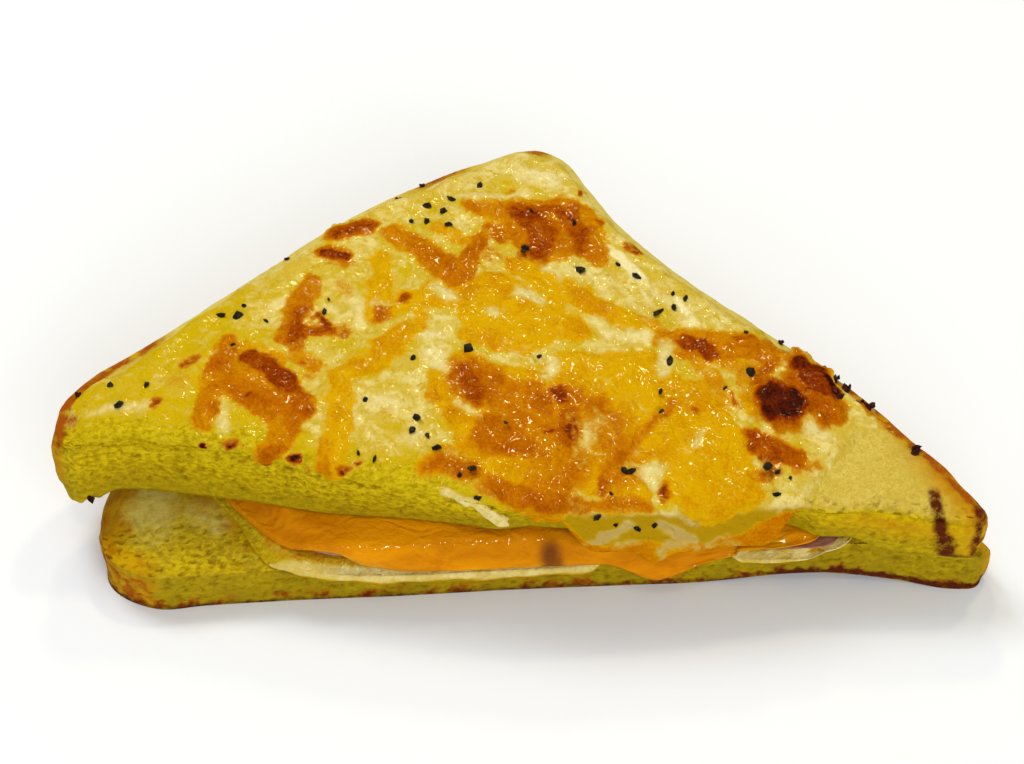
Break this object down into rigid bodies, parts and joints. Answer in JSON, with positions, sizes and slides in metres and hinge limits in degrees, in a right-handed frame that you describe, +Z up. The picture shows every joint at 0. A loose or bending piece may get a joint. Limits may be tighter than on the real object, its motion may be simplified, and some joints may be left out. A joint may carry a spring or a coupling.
{
  "type": "croque monsieur",
  "caption": "Half of a toasted ham and cheese sandwich, cut corner to corner, under baked white sauce with melted cheddar.",
  "frame": {"origin": "On the table, under the middle of the bounding box; the bottom of the lower slice lies at z = 0.", "axes": "+X along the diagonal cut towards the bare right-hand end, +Y from the cut towards the bread's whole corner, +Z up."},
  "size_m": [0.1585, 0.0853, 0.0325],
  "materials": {
    "toast": "porous toasted crumb with a browned crust",
    "white_sauce": "baked white sauce, satin with browned spots and pepper",
    "ham": "moist cooked ham",
    "cheddar": "melted orange cheddar, glossy",
    "melted_cheddar": "baked cheddar, oily gloss, browned and charred in places"
  },
  "bodies": {
    "root": {"bread_bottom": "toast", "sauce_lower": "white_sauce", "ham": "ham", "cheddar_slice": "cheddar", "bread_top": "toast", "sauce_top": "white_sauce", "cheddar_melt_corner": "melted_cheddar", "cheddar_melt_left_crust": "melted_cheddar", "cheddar_melt_hook": "melted_cheddar", "cheddar_melt_spot": "melted_cheddar", "cheddar_melt_blister": "melted_cheddar", "cheddar_melt_net": "melted_cheddar", "cheddar_melt_strand": "melted_cheddar", "cheddar_melt_arch": "melted_cheddar", "cheddar_melt_middle": "melted_cheddar", "cheddar_melt_right": "melted_cheddar", "cheddar_melt_char": "melted_cheddar", "cheddar_melt_brown": "melted_cheddar"}
  },
  "joints": []
}
